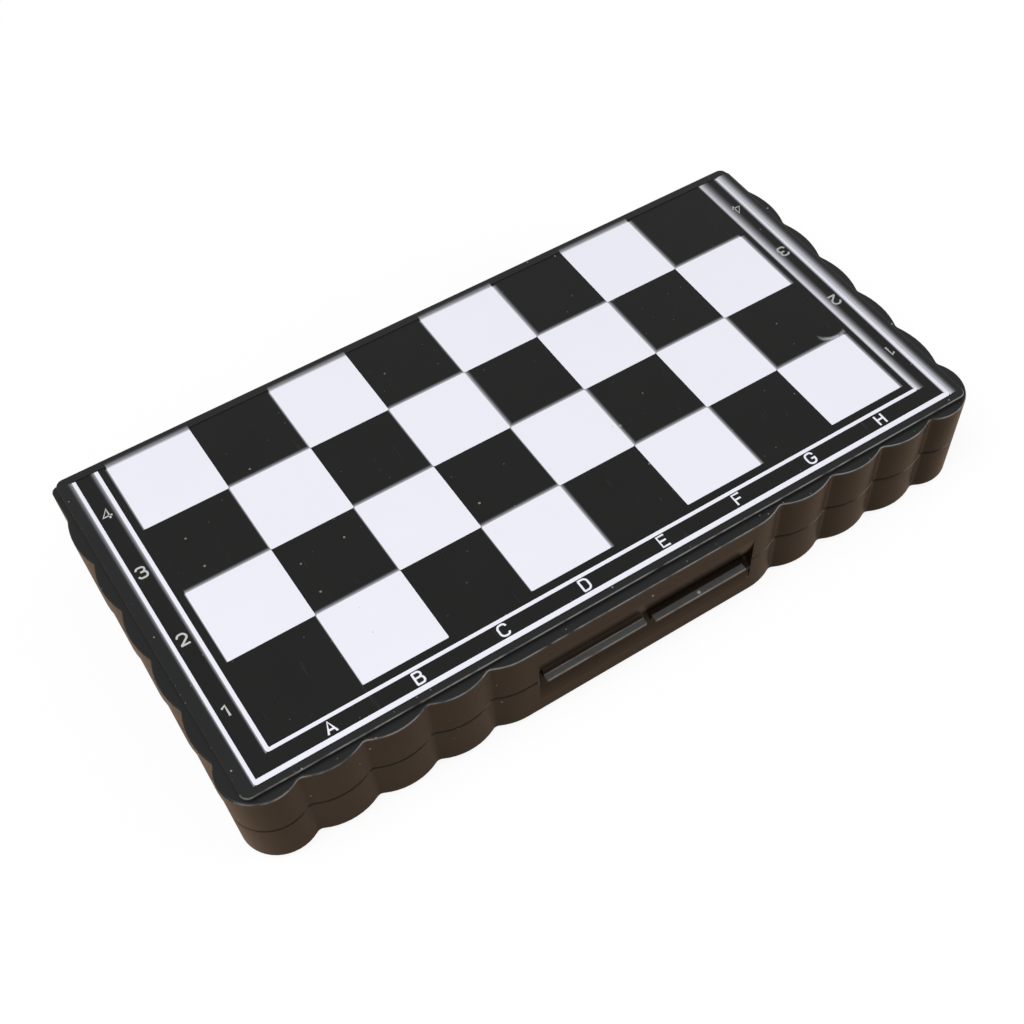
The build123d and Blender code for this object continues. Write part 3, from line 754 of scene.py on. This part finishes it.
# %% Tree for the light squares
def square_tree():
    """A tile on each point of a grid that lies on a light square. Field writes its sums here too."""
    tree, given = new_tree("light_squares", Square=square, Corner=0.2 * MM, Thickness=PRINT_THICK)
    position = add(tree, "GeometryNodeInputPosition").outputs[0]
    split = add(tree, "ShaderNodeSeparateXYZ", {0: position})
    side = Field(tree, given["Square"])
    column, row = (
        ((Field(tree, split.outputs[axis]) + half) / side).maths("FLOOR")
        for axis, half in (("X", half_length), ("Y", half_depth))
    )
    light = (column + row).is_even() * -1 + 1
    points = add(tree, "GeometryNodeMeshToPoints", {"Mesh": given["Geometry"]})
    outline = rounded(tree, rectangle(tree, side.socket, side.socket), given["Corner"], PATCH_CORNER_STEPS)
    filled = add(tree, "GeometryNodeFillCurve", {"Curve": outline}, mode="NGONS")
    tile = thickened(tree, filled.outputs[0], given["Thickness"])
    links = {"Points": points.outputs[0], "Selection": light.socket, "Instance": tile}
    placed = add(tree, "GeometryNodeInstanceOnPoints", links)
    close_tree(tree, placed.outputs[0], given["Material"])
    return tree


SQUARES = square_tree()
print("square tree:", len(SQUARES.nodes), "nodes")

# %% [markdown]
# Print is built lying at the origin, face up, and then moved onto its board. A print that is turned
# over goes through a rotation of 180 degrees about the front to back line, never a mirror, so its
# faces keep pointing outwards and its letters still read. Pieces that end in the same material on
# the same board are joined: they are one layer of ink.


# %% Helpers that place and join
def settle(piece, matrix):
    """Move a piece's mesh, so that its object stays at the origin."""
    piece.data.transform(matrix)
    piece.data.update()
    return piece


def joined(name, pieces):
    """One object from several."""
    mesh = bmesh.new()
    for piece in pieces:
        mesh.from_mesh(piece.data)
    whole = bpy.data.meshes.new(name)
    mesh.to_mesh(whole)
    mesh.free()
    whole.materials.append(pieces[0].data.materials[0])
    for piece in pieces:
        bpy.data.objects.remove(piece)
    return new_object(name, whole)


def outward(piece):
    """Faces point out of the closed shape."""
    mesh = bmesh.new()
    mesh.from_mesh(piece.data)
    bmesh.ops.remove_doubles(mesh, verts=mesh.verts, dist=0.0005 * MM)
    bmesh.ops.recalc_face_normals(mesh, faces=mesh.faces)
    mesh.to_mesh(piece.data)
    mesh.free()
    return piece


# %% [markdown]
# Two lines go round the squares on three sides, and both stop at the back, where the other half of
# the board would begin. A line of even width could be a stroke, but the outer one is thinner on the
# left. So each is one closed outline: there along its outer edge, and back along its inner one.

# %% Outlines of the two lines
LINE_CORNER = 0.45 * MM
PRINT_MARGIN = 0.05 * MM
board_back_y = foil_high.y - PRINT_MARGIN - board_middle.y


def line_outline(inner, outer, left_trim):
    """Outline of a three sided line round the squares, open at the back and trimmed at the left."""
    left = -half_length - outer
    right = half_length + outer
    outline = [(left, board_back_y, 0), (left, -half_depth - outer, LINE_CORNER)]
    outline += [(right, -half_depth - outer, LINE_CORNER), (right, board_back_y, 0)]
    left = -half_length - inner - left_trim
    right = half_length + inner
    outline += [(right, board_back_y, 0), (right, -half_depth - inner, 0)]
    outline += [(left, -half_depth - inner, 0), (left, board_back_y, 0)]
    outline.append(outline[0])
    return [[(Vector((x, y, 0)), corner) for x, y, corner in outline]]


print("the lines reach", round(board_back_y / MM, 2), "mm behind the board's middle")

# %% [markdown]
# Letters stand along the front, and rank numbers on both sides, where the right hand ones are read
# from behind. The numbers were rubbed outwards like the rest. A smear worked out from distances
# would need a formula for every number, so each has two faint copies of itself under it instead, a
# hair further out each time.

# %% Letters, numbers and their faint copies
LETTER_TALL = 1.95 * MM
LETTER_STROKE = 0.32 * MM
NUMBER_STROKE = 0.32 * MM
LETTER_Y = -0.238
NUMBER_LEFT = -0.26
NUMBER_RIGHT = FILES + 0.27
LAST_NUMBER_DROP = 0.08
GHOST_STEPS = (0.16 * MM, 0.34 * MM)
GHOST_THICK = 0.4 * PRINT_THICK


def board_strokes(first_rank, turned):
    """Strokes of the letters, and of the numbers apart, on a board that starts at this rank."""
    letters = []
    numbers = []
    across, turn = (-1, 180) if turned else (1, 0)
    for index, letter in enumerate("ABCDEFGH"):
        x = (index + 0.5) * square - half_length
        middle = Vector((across * x, LETTER_Y * square - half_depth, 0))
        letters += glyph_strokes(letter, middle, LETTER_TALL, turn)
    for index in range(RANKS):
        y = (index + 0.5 - (LAST_NUMBER_DROP if index == RANKS - 1 else 0)) * square - half_depth
        text = str(first_rank - index if turned else first_rank + index)
        for column, turn in ((NUMBER_LEFT, 0), (NUMBER_RIGHT, 180)):
            middle = Vector((column * square - half_length, y, 0))
            numbers.append(glyph_strokes(text, middle, LETTER_TALL, turn))
    return letters, numbers


def faded_numbers(name, numbers):
    """Faint copies of the numbers, a little further out each time."""
    strokes = []
    for shift in GHOST_STEPS:
        for number in numbers:
            side = 1 if number[0][0][0].x > 0 else -1
            step = Vector((side * shift, 0, 0))
            strokes += [[(point + step, radius) for point, radius in stroke] for stroke in number]
    mesh = stroke_mesh(name, strokes)
    return grown(name, mesh, STROKES, faded_ink, Width=LETTER_STROKE, Thickness=GHOST_THICK)


for first_rank, turned in ((1, False), (8, True)):
    letters, numbers = board_strokes(first_rank, turned)
    print("from rank", first_rank, "on:", len(letters), "strokes of letters,", len(numbers), "numbers")

# %% [markdown]
# Now a whole board can be printed. The print stands a little proud of the film and is sunk into it
# for the rest, so no gap shows under it. The lower board repeats the upper one, turned over, with
# the far ranks on it. Lines, squares and letters take the place of the construction's plain print,
# while the numbers and their faint copies are extra, because their ink differs.

# %% Print both boards
PRINT_SINK = 0.030 * MM
LETTER_THICK = 0.050 * MM
LETTER_LIFT = LETTER_THICK / 2 - PRINT_SINK


def printed_board(side, first_rank, turned, matrix, white_ink):
    """All the print of one board. The matrix carries it from the origin to its place."""
    letters, numbers = board_strokes(first_rank, turned)
    mesh = stroke_mesh(f"{side}_letters", letters)
    words = grown(f"{side}_letters", mesh, STROKES, white_ink, Width=LETTER_STROKE, Thickness=LETTER_THICK)
    made = [settle(words, Matrix.Translation((0, 0, LETTER_LIFT)))]
    sink = Matrix.Translation((0, 0, -PRINT_SINK))
    for label, edges, trim in (("inner", INNER_LINE, 0), ("outer", OUTER_LINE, LEFT_TRIM)):
        name = f"{side}_{label}_line"
        base = stroke_mesh(name, line_outline(*edges, trim))
        made.append(settle(grown(name, base, PATCHES, white_ink, Thickness=PRINT_THICK), sink))
    grid = bmesh.new()
    for column in range(FILES):
        for row in range(RANKS):
            place = ((column + 0.5) * square - half_length, (row + 0.5) * square - half_depth, -PRINT_SINK)
            grid.verts.new(place)
    base = bpy.data.meshes.new(f"{side}_square_middles")
    grid.to_mesh(base)
    grid.free()
    made.append(grown(f"{side}_squares", base, SQUARES, white_ink, Thickness=PRINT_THICK))
    board = settle(outward(joined(f"{side}_printed_board", made)), matrix)
    faded = faded_numbers(f"{side}_faded_numbers", numbers)
    faded = settle(outward(faded), matrix @ sink)
    name = f"{side}_rank_numbers"
    mesh = stroke_mesh(name, [stroke for number in numbers for stroke in number])
    ranks = grown(name, mesh, STROKES, number_ink, Width=NUMBER_STROKE, Thickness=LETTER_THICK)
    ranks = settle(outward(ranks), matrix @ Matrix.Translation((0, 0, LETTER_LIFT)))
    return board, faded, ranks


top_place = Matrix.Translation(board_middle)
under_middle = Vector((0, board_middle.y, under_low.z))
under_place = Matrix.Translation(under_middle) @ Matrix.Rotation(math.pi, 4, "Y")
BOARDS = (("upper", 1, False, top_place, upper_ink), ("lower", 8, True, under_place, lower_ink))
for side, *how in BOARDS:
    board, *extras = printed_board(side, *how)
    for piece in (board, *extras):
        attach(piece, f"{side}_half")
    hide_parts(f"{side}_white_print")
    heights = [vertex.co.z / MM for vertex in board.data.vertices]
    print(board.name, len(board.data.polygons), f"faces, z {min(heights):.3f} to {max(heights):.3f} mm")

# %% [markdown]
# The steel sheets that the magnets hold on to are bright tinned steel, rolled along their length:
# noise stretched a hundred times along X gives the rolling marks. The hinge wire is plainer drawn
# steel, and the magnets are dark sintered discs with a slight sparkle.


# %% Steel, wire and magnets
def rolled_steel(name, grain_stretch, low, high):
    finish = Finish(name, Metallic=1.0, IOR=2.6)
    rolled = finish.noise(0.25 * MM, detail=4.0, stretch=grain_stretch)
    cloud = finish.noise(16 * MM)
    finish.feed("Base Color", finish.mix(cloud, (0.29, 0.29, 0.285), (0.37, 0.37, 0.365)))
    finish.feed("Roughness", rolled * (high - low) + cloud * 0.06 + low)
    finish.bump(rolled, 0.004 * MM)
    return finish.material


def sintered(name):
    finish = Finish(name, Metallic=0.75, IOR=2.2)
    grain = finish.noise(0.12 * MM, detail=4.0)
    finish.feed("Base Color", finish.mix(grain, (0.07, 0.07, 0.075), (0.15, 0.15, 0.155)))
    finish.feed("Roughness", grain * 0.2 + 0.42)
    finish.bump(grain, 0.01 * MM)
    return finish.material


tinned_steel = rolled_steel("tinned_steel", (0.01, 1.0, 1.0), 0.22, 0.42)
drawn_wire = rolled_steel("drawn_wire", (0.03, 1.0, 1.0), 0.20, 0.34)
magnet_metal = sintered("sintered_magnet")
print("metals:", tinned_steel.name, drawn_wire.name, magnet_metal.name)

# %% [markdown]
# The men are moulded in ivory and in black plastic. Ivory plastic lets a little light under its
# skin, which softens its shadows, so it gets some subsurface scattering at the scale of the men.


# %% Plastic of the men
GLOW_DEPTH = 0.6 * MM


def men_plastic(name, dark, pale, glow):
    under_skin = {"Subsurface_Weight": glow, "Subsurface_Scale": GLOW_DEPTH}
    finish = Finish(name, IOR=1.49, Specular_IOR_Level=0.45, **under_skin)
    cloud = finish.noise(5 * MM)
    grain = finish.noise(0.3 * MM)
    finish.feed("Base Color", finish.mix(cloud, dark, pale))
    finish.feed("Roughness", cloud * 0.08 + grain * 0.08 + 0.24)
    finish.bump(grain, 0.003 * MM)
    return finish.material


ivory_plastic = men_plastic("ivory_plastic", (0.66, 0.62, 0.52), (0.74, 0.71, 0.62), 0.25)
black_plastic = men_plastic("black_men_plastic", (0.017, 0.016, 0.016), (0.024, 0.023, 0.023), 0.0)
print("men:", ivory_plastic.name, black_plastic.name)

# %% [markdown]
# The knights are the only men that aren't turned, so they are carved. It could be done by hand in
# sculpt mode, but a few numbers are easier to correct. Ring after ring of points is laid from the
# chest up the neck and down the face, like slices of clay, and a skin of quads joins them.

# %% Slices of a knight
# Each slice: its point on the back, its point on the front, and half its thickness, in millimetres
# forward of the man's axis and above its foot.
SLICES = (
    ((-2.45, -0.2), (2.35, -0.2), 1.70),
    ((-2.50, 0.7), (2.10, 0.7), 1.60),
    ((-2.70, 2.1), (1.45, 1.9), 1.40),
    ((-2.75, 3.7), (1.05, 3.2), 1.25),
    ((-2.55, 5.2), (0.85, 4.3), 1.20),
    ((-2.00, 6.5), (0.95, 4.85), 1.20),
    ((-1.25, 7.5), (1.45, 4.65), 1.25),
    ((-0.35, 8.05), (2.00, 4.25), 1.20),
    ((0.80, 7.70), (2.35, 4.25), 1.05),
    ((1.95, 6.70), (2.70, 4.20), 0.85),
    ((2.75, 5.95), (3.05, 4.22), 0.78),
    ((3.20, 5.45), (3.22, 4.45), 0.62),
)
BACK_TAPER = 0.35
RING_POINTS = 16


def add_slices(mesh):
    """Skin of quads over the slices, closed at both ends."""
    rings = []
    for (back_x, back_z), (front_x, front_z), half in SLICES:
        ring = []
        for index in range(RING_POINTS):
            angle = 2 * math.pi * index / RING_POINTS
            forward = math.cos(angle)
            side = math.sin(angle) * half * (1 - BACK_TAPER * max(0, -forward))
            x = (back_x + front_x + forward * (front_x - back_x)) / 2
            z = (back_z + front_z + forward * (front_z - back_z)) / 2
            ring.append(mesh.verts.new((x, side, z)))
        rings.append(ring)
    for lower, upper in zip(rings, rings[1:]):
        for index in range(RING_POINTS):
            after = (index + 1) % RING_POINTS
            mesh.faces.new((lower[index], lower[after], upper[after], upper[index]))
    mesh.faces.new(rings[0][::-1])
    mesh.faces.new(rings[-1])


print("a knight has", len(SLICES), "slices of", RING_POINTS, "points")

# %% [markdown]
# Small balls add the locks of the mane, the cheeks, the eyes and the nostrils, and two cones the
# ears. They only need to overlap the neck: a voxel remesh melts all of it into one skin, and a few
# rounds of smoothing take the steps off, much as a sculptor's thumb would.

# %% The horse's head
MANE_SLICES = SLICES[2:8]
LOCKS = 10
LOCK_SIZE = (0.62, 0.42, 0.42)
LOCK_LEAN = 25
CHEEK = ((1.55, 1.00, 5.45), (0.80, 0.42, 0.95))
EYE = ((1.00, 1.03, 6.75), (0.30, 0.24, 0.24))
NOSTRIL = ((2.98, 0.66, 5.15), (0.24, 0.20, 0.18))
EAR = ((-0.20, 0.60, 8.30), 0.46, 1.35)
EAR_TIP = 0.06
EAR_LEAN = -12
VOXEL = 0.11


def leaning(place, lean):
    """Place of a detail that leans about the side to side axis by degrees."""
    return Matrix.Translation(place) @ Matrix.Rotation(math.radians(lean), 4, "Y")


def add_ball(mesh, place, size, lean=0.0):
    """Stretched ball."""
    matrix = leaning(place, lean) @ Matrix.Diagonal((*size, 1))
    bmesh.ops.create_icosphere(mesh, subdivisions=3, radius=1, matrix=matrix)


def add_mane(mesh):
    """Locks along the crest, each turned along it."""
    crest = [Vector((back[0], 0, back[1])) for back, _, _ in MANE_SLICES]
    for index in range(LOCKS):
        place = index * (len(crest) - 1.001) / (LOCKS - 1)
        start, end = crest[int(place)], crest[int(place) + 1]
        run = end - start
        lean = -math.degrees(math.atan2(run.z, run.x)) + LOCK_LEAN
        add_ball(mesh, start + run * (place - int(place)), LOCK_SIZE, lean)


def horse_head():
    """Mesh of the head and neck in one smooth skin, in millimetres."""
    mesh = bmesh.new()
    add_slices(mesh)
    add_mane(mesh)
    for side in (-1, 1):
        for (x, y, z), size in (CHEEK, EYE, NOSTRIL):
            add_ball(mesh, (x, y * side, z), size)
        (x, y, z), radius, tall = EAR
        ear = {"radius1": radius, "radius2": EAR_TIP, "depth": tall, "segments": 12, "cap_ends": True}
        bmesh.ops.create_cone(mesh, matrix=leaning((x, y * side, z), EAR_LEAN), **ear)
    clay = bpy.data.meshes.new("horse_clay")
    mesh.to_mesh(clay)
    mesh.free()
    thing = new_object("horse_clay", clay)
    melt = thing.modifiers.new("melt", "REMESH")
    melt.mode = "VOXEL"
    melt.voxel_size = VOXEL
    soften = thing.modifiers.new("soften", "SMOOTH")
    soften.factor = 0.5
    soften.iterations = 4
    return plain_mesh(thing)


head = horse_head()
print("horse's head:", len(head.polygons), "faces")

# %% [markdown]
# Only the foot is turned, because it needs crisp edges, which the remesh would round off. Its
# outline goes once round the axis, with the pocket for the magnet underneath. The whole knight is
# made once, and each of the four is a copy that takes the place of its plainer solid.

# %% Foot, whole knight and its four places
FOOT_OUTLINE = ((2.45, 0), (4.7, 0), (4.7, 1.05), (4.45, 1.3), (3.5, 1.65), (3.15, 2.0), (0, 2.0))
POCKET = ((0, 1.5), (2.45, 1.5))
HEAD_ROOT = 1.65
TURNED_STEPS = 64


def turned_foot(mesh):
    """Foot with the magnet's pocket, turned about the axis."""
    outline = [mesh.verts.new((x, 0, z)) for x, z in (*POCKET, *FOOT_OUTLINE)]
    edges = [mesh.edges.new(pair) for pair in zip(outline, outline[1:])]
    turn = {"cent": (0, 0, 0), "axis": (0, 0, 1), "angle": 2 * math.pi, "steps": TURNED_STEPS}
    bmesh.ops.spin(mesh, geom=outline + edges, **turn)
    bmesh.ops.remove_doubles(mesh, verts=mesh.verts, dist=0.001)
    bmesh.ops.recalc_face_normals(mesh, faces=mesh.faces)


def carved_knight(head):
    """Mesh of a whole knight in metres, standing on the origin and facing +X."""
    mesh = bmesh.new()
    turned_foot(mesh)
    foot_faces = len(mesh.faces)
    head.transform(Matrix.Translation((0, 0, HEAD_ROOT)))
    mesh.from_mesh(head)
    mesh.faces.ensure_lookup_table()
    for index, face in enumerate(mesh.faces):
        face.smooth = index >= foot_faces
    whole = bpy.data.meshes.new("carved_knight")
    mesh.to_mesh(whole)
    mesh.free()
    whole.transform(Matrix.Scale(MM, 4))
    return whole


knight = carved_knight(head)
for node in [name for name in nodes if "knight_" in name and "magnet" not in name]:
    low, high = (Vector(corner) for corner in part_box(node))
    piece = new_object("carved_" + node, knight.copy())
    settle(piece, Matrix.Translation(((low.x + high.x) / 2, (low.y + high.y) / 2, low.z)))
    white = node.startswith("white")
    piece.data.materials.append(ivory_plastic if white else black_plastic)
    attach(piece, "lower_half")
    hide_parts(node)
    tops = [vertex.co.z for vertex in piece.data.vertices]
    print(piece.name, len(piece.data.polygons), f"faces, top {max(tops) / MM:.2f} of {high.z / MM:.2f} mm")

# %% [markdown]
# Every piece that came with the frame still needs its material. A name says what a piece is made of,
# so one list of name parts with their finishes is enough. The first part that fits counts, which is
# why the magnets stand at its head, before the men whose colour their names hold.

# %% Give every carried over node its finish
FINISHES = (
    ("magnet", magnet_metal),
    ("upper_case_half", upper_plastic),
    ("lower_case_half", lower_plastic),
    ("upper_board_foil", upper_film),
    ("lower_board_foil", lower_film),
    ("upper_white_print", upper_ink),
    ("lower_white_print", lower_ink),
    ("steel_sheet", tinned_steel),
    ("hinge_pin", drawn_wire),
    ("white_", ivory_plastic),
    ("black_", black_plastic),
)
for name, node in nodes.items():
    finish = next(material for part, material in FINISHES if part in name)
    for slot in node.material_slots:
        slot.material = finish
print("finishes given to", len(nodes), "nodes")

# %% [markdown]
# The picture shows the case on white. A bright floor and sky would give that, but they would also
# wash the black plastic out. So the camera sees floor and world in plain white, gloss and glass see
# a share of that white, and what the floor throws back at the walls of the case is brown. The floor
# keeps a little of the shadow, so that the case is seen to lie on it.

# %% Floor and world
FLOOR_HALF = 1.5
AMBIENT = 0.45
SKY_IN_GLOSS = 0.50
FLOOR_IN_GLOSS = 0.15
SHADOW_KEPT = 0.12
FLOOR_TONE = (0.64, 0.42, 0.26)
WHITE = (1.0, 1.0, 1.0)


def seen_directly(tree, gloss_share=1.0):
    """1 for rays from the camera, and this share for those seen in gloss or through glass."""
    rays = tree.nodes.new("ShaderNodeLightPath").outputs
    seen = Field(tree, rays["Is Camera Ray"])
    for kind in ("Is Glossy Ray", "Is Transmission Ray"):
        seen = seen.maths("MAXIMUM", Field(tree, rays[kind]) * gloss_share)
    return seen


def studio_world():
    world = bpy.data.worlds.new("studio")
    world.use_nodes = True
    sky = world.node_tree.nodes["Background"]
    sky.inputs["Color"].default_value = (*WHITE, 1)
    strength = seen_directly(world.node_tree, SKY_IN_GLOSS) * (1 - AMBIENT) + AMBIENT
    world.node_tree.links.new(strength.socket, sky.inputs["Strength"])
    bpy.context.scene.world = world


def white_floor():
    half = FLOOR_HALF
    corners = [(-half, -half, 0), (half, -half, 0), (half, half, 0), (-half, half, 0)]
    mesh = bpy.data.meshes.new("floor")
    mesh.from_pydata(corners, [], [(0, 1, 2, 3)])
    finish = Finish("pale_floor", Roughness=0.9, Specular_IOR_Level=0.0)
    tree = finish.tree
    finish.feed("Base Color", finish.mix(seen_directly(tree, 0.0), FLOOR_TONE, WHITE))
    glow = tree.nodes.new("ShaderNodeEmission")
    glow.inputs["Color"].default_value = (*WHITE, 1)
    blend = tree.nodes.new("ShaderNodeMixShader")
    share = seen_directly(tree, FLOOR_IN_GLOSS) * (1 - SHADOW_KEPT)
    tree.links.new(share.socket, blend.inputs["Fac"])
    tree.links.new(finish.shader.outputs[0], blend.inputs[1])
    tree.links.new(glow.outputs[0], blend.inputs[2])
    tree.links.new(blend.outputs[0], tree.nodes["Material Output"].inputs["Surface"])
    mesh.materials.append(finish.material)
    floor = new_object("floor", mesh)


studio_world()
white_floor()
print("floor:", 2 * FLOOR_HALF, "m wide, light of the world:", AMBIENT)

# %% [markdown]
# The light in the picture is soft and comes from above. A large cool lamp overhead gives most of it,
# a neutral one at the front right lights the front walls, and a weak warm one low at the left browns
# the walls there. None stands behind the case, where the glossy film would mirror it to the camera
# and look grey.


# %% Lamps
def softbox(name, place, aim, size, power, colour):
    """Square area lamp at a place, turned to its aim."""
    lamp = bpy.data.lights.new(name, "AREA")
    lamp.size = size
    lamp.energy = power
    lamp.color = colour
    holder = new_object(name, lamp)
    holder.location = place
    holder.rotation_euler = (Vector(aim) - Vector(place)).to_track_quat("-Z", "Y").to_euler()


AIM = (0, 0, 0.01)
softbox("overhead", (-0.35, -0.10, 0.75), AIM, 0.5, 4.4, (0.97, 0.985, 1.0))
softbox("front_right", (0.50, -0.35, 0.19), AIM, 0.3, 1.6, (1.0, 0.98, 0.95))
softbox("low_left", (-0.45, -0.10, 0.06), AIM, 0.16, 0.25, (1.0, 0.55, 0.25))

# %% [markdown]
# The camera was solved from the printed grid: its corners are known on the board and can be read
# off the picture, which fixes the place, the angles, the lens and, because the picture was cropped,
# the sideways shift of the image.

# %% Camera
CAMERA_PLACE = Vector((-67.44, -120.06, 179.61)) * MM
CAMERA_ANGLES = (31.526, 0.432, -33.872)
CAMERA_LENS = 48.195
CAMERA_SHIFT = (-0.0695, 0.1355)


def picture_camera():
    camera = bpy.data.cameras.new("picture_camera")
    camera.sensor_width = 36
    camera.lens = CAMERA_LENS
    camera.shift_x, camera.shift_y = CAMERA_SHIFT
    camera.clip_start = 0.01
    holder = new_object("picture_camera", camera)
    holder.location = CAMERA_PLACE
    holder.rotation_euler = [math.radians(angle) for angle in CAMERA_ANGLES]
    bpy.context.scene.camera = holder


picture_camera()
bpy.context.scene.view_settings.view_transform = "Standard"
print("camera at", [round(part / MM, 1) for part in CAMERA_PLACE], "mm")
